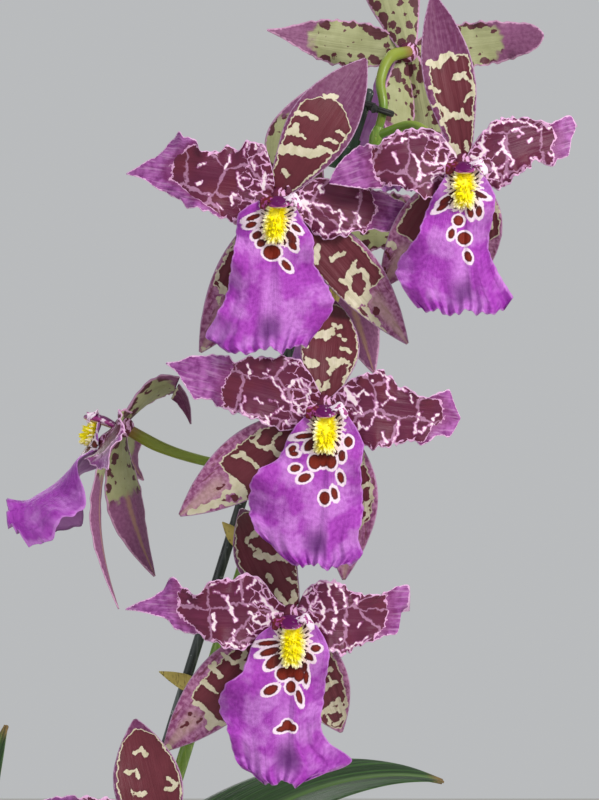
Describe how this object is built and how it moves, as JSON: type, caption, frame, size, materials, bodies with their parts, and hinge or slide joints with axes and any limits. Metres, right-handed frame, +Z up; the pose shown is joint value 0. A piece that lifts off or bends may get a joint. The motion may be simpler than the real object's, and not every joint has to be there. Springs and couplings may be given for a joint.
{
  "type": "potted aliceara orchid",
  "caption": "Potted orchid with strap leaves and a leaning, staked flower spike of star-shaped blooms, each with a broad lip and a toothed crest.",
  "frame": {"origin": "centre of the pot's flat underside", "axes": "+Z up along the pot's axis, -Y the way the open blooms face, +X the way the flower spike leans"},
  "size_m": [0.4851, 0.4093, 0.7078],
  "materials": {
    "terracotta": "matte",
    "bark": "matte",
    "pseudobulb": "satin",
    "leaf": "satin",
    "spike": "satin",
    "stake": "satin",
    "clip": "satin",
    "tie": "matte",
    "tepals": "satin",
    "lip": "satin",
    "crest": "satin"
  },
  "bodies": {
    "root": {"pot": "terracotta", "bark": "bark", "pseudobulb_front": "pseudobulb", "pseudobulb_back": "pseudobulb", "pseudobulb_old": "pseudobulb", "leaf_bulb_right": "leaf", "leaf_bulb_left": "leaf", "leaf_sheath_front": "leaf", "leaf_sheath_left": "leaf", "leaf_back_right": "leaf", "leaf_back_left": "leaf", "leaf_old_left": "leaf", "leaf_shoot_tall": "leaf", "leaf_shoot_front": "leaf", "leaf_shoot_right": "leaf", "spike": "spike", "stake": "stake", "clip_upper": "clip", "clip_middle": "clip", "clip_lower": "clip", "tie": "tie", "bloom_a_tepals": "tepals", "bloom_a_lip": "lip", "bloom_a_crest": "crest", "bloom_b_tepals": "tepals", "bloom_b_lip": "lip", "bloom_b_crest": "crest", "bloom_c_tepals": "tepals", "bloom_c_lip": "lip", "bloom_c_crest": "crest", "bloom_d_tepals": "tepals", "bloom_d_lip": "lip", "bloom_d_crest": "crest", "bloom_e_tepals": "tepals", "bloom_e_lip": "lip", "bloom_e_crest": "crest", "bloom_f_tepals": "tepals", "bloom_f_lip": "lip", "bloom_f_crest": "crest", "bloom_g_tepals": "tepals", "bloom_g_lip": "lip", "bloom_g_crest": "crest", "bloom_h_tepals": "tepals", "bloom_h_lip": "lip", "bloom_h_crest": "crest"}
  },
  "joints": []
}
